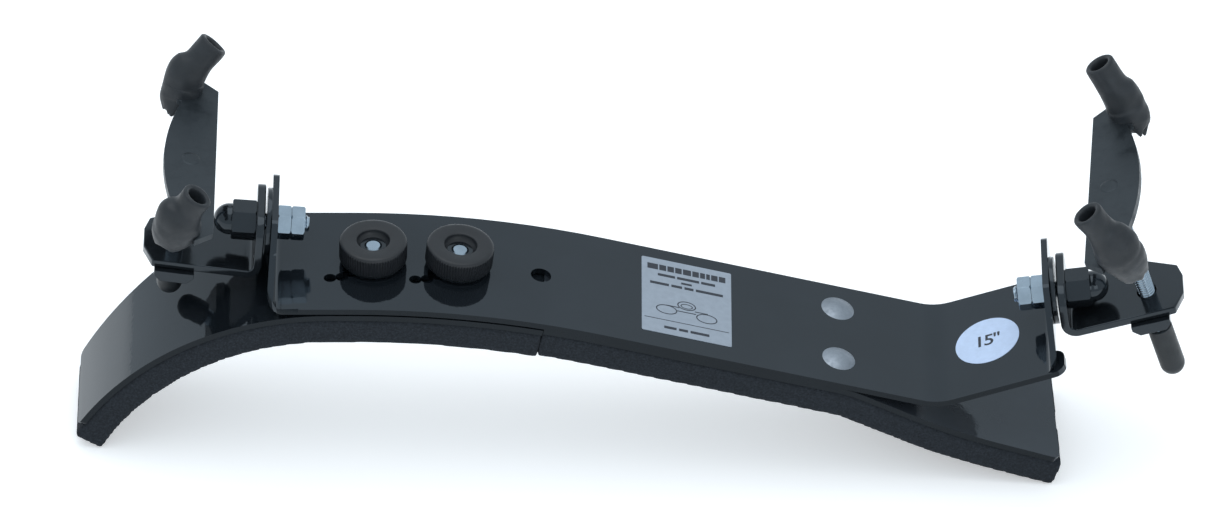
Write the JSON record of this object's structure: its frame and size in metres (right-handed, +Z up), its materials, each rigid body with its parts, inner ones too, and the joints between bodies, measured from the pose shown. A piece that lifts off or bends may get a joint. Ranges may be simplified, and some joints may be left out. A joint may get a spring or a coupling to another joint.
{
  "type": "violin shoulder rest",
  "caption": "Shoulder rest for a violin or viola: a bent metal frame on foam-padded plates, with a threaded, rubber-sleeved fork foot at each end and a hooked pad held by clamp knobs.",
  "frame": {"origin": "on the surface it stands on, under the middle of its bounding box", "axes": "+X towards the chest end, +Y across the body towards the scroll side, +Z up"},
  "size_m": [0.2618, 0.064, 0.0912],
  "materials": {
    "black_lacquer": "gloss lacquer",
    "black_hardware": "satin black",
    "pad_foam": "matt closed-cell foam",
    "sleeve_rubber": "satin",
    "cap_plastic": "satin",
    "zinc_plate": "bright zinc",
    "rivet_aluminium": "satin",
    "knob_plastic": "fine knurl",
    "label_film": "printed film",
    "disc_film": "printed film"
  },
  "bodies": {
    "frame": {"frame_plate": "black_lacquer", "chest_plate": "black_lacquer", "chest_foam_pad": "pad_foam", "plate_rivets": "rivet_aluminium", "info_label": "label_film", "size_disc": "disc_film", "left_tab_bolt": "zinc_plate", "left_tab_nuts": "zinc_plate", "left_tab_washer": "black_hardware", "right_tab_bolt": "zinc_plate", "right_tab_nuts": "zinc_plate", "right_tab_washer": "black_hardware"},
    "hook": {"hook_plate": "black_lacquer", "hook_foam_pad": "pad_foam", "hook_studs": "zinc_plate"},
    "clamp_1_lift": {"clamp_1_washer": "black_hardware"},
    "clamp_1": {"clamp_1_knob": "knob_plastic", "clamp_1_insert": "black_hardware"},
    "clamp_2_lift": {"clamp_2_washer": "black_hardware"},
    "clamp_2": {"clamp_2_knob": "knob_plastic", "clamp_2_insert": "black_hardware"},
    "left_bracket": {"left_bracket": "black_hardware", "left_boss": "black_hardware", "left_cap_nut": "black_hardware"},
    "left_lift": {"left_stem_cap": "cap_plastic"},
    "left_foot": {"left_fork": "black_hardware", "left_stem": "zinc_plate", "left_front_sleeve": "sleeve_rubber", "left_rear_sleeve": "sleeve_rubber"},
    "right_bracket": {"right_bracket": "black_hardware", "right_boss": "black_hardware", "right_cap_nut": "black_hardware"},
    "right_lift": {"right_stem_cap": "cap_plastic"},
    "right_foot": {"right_fork": "black_hardware", "right_stem": "zinc_plate", "right_front_sleeve": "sleeve_rubber", "right_rear_sleeve": "sleeve_rubber"}
  },
  "joints": [
    {"name": "hook_shift", "type": "slide", "parent": "frame", "child": "hook", "axis": [-0.803, -0.5946, -0.0403], "range_m": [0, 0.003]},
    {"name": "clamp_1_rise", "type": "slide", "parent": "hook", "child": "clamp_1_lift", "axis": [-0.0292, 0, 0.9996], "range_m": [0, 0.0021]},
    {"name": "clamp_1_turn", "type": "hinge", "parent": "clamp_1_lift", "child": "clamp_1", "pos_m": [-0.0625, -0.00339, 0.04579], "axis": [-0.0292, 0, 0.9996], "range_deg": [0, 1080]},
    {"name": "clamp_2_rise", "type": "slide", "parent": "hook", "child": "clamp_2_lift", "axis": [0.058, 0, 0.9983], "range_m": [0, 0.0021]},
    {"name": "clamp_2_turn", "type": "hinge", "parent": "clamp_2_lift", "child": "clamp_2", "pos_m": [-0.04246, -0.00339, 0.0455], "axis": [0.058, 0, 0.9983], "range_deg": [0, 1080]},
    {"name": "left_tilt", "type": "hinge", "parent": "frame", "child": "left_bracket", "pos_m": [-0.0869, -0.00109, 0.05473], "axis": [-0.9993, 0, 0.0372], "range_deg": [-12, 12]},
    {"name": "left_height", "type": "slide", "parent": "left_bracket", "child": "left_lift", "axis": [0.1068, 0, 0.9943], "range_m": [-0.0014, 0.0021]},
    {"name": "left_turn", "type": "hinge", "parent": "left_lift", "child": "left_foot", "pos_m": [-0.10891, -0.00109, 0.04812], "axis": [0.1068, 0, 0.9943], "range_deg": [-720, 1080]},
    {"name": "right_tilt", "type": "hinge", "parent": "frame", "child": "right_bracket", "pos_m": [0.09784, -0.00109, 0.04303], "axis": [0.9821, 0, 0.1886], "range_deg": [-12, 12]},
    {"name": "right_height", "type": "slide", "parent": "right_bracket", "child": "right_lift", "axis": [-0.3399, 0, 0.9405], "range_m": [-0.0098, 0.0063]},
    {"name": "right_turn", "type": "hinge", "parent": "right_lift", "child": "right_foot", "pos_m": [0.1202, -0.00109, 0.04412], "axis": [-0.3399, 0, 0.9405], "range_deg": [-5040, 3240]}
  ],
  "couplings": [
    {"joint": "clamp_1_turn", "follows": "clamp_1_rise", "rad_per_m": 8976},
    {"joint": "clamp_2_turn", "follows": "clamp_2_rise", "rad_per_m": 8976},
    {"joint": "left_height", "follows": "left_turn", "m_per_rad": 0.00011141},
    {"joint": "right_height", "follows": "right_turn", "m_per_rad": 0.00011141}
  ]
}
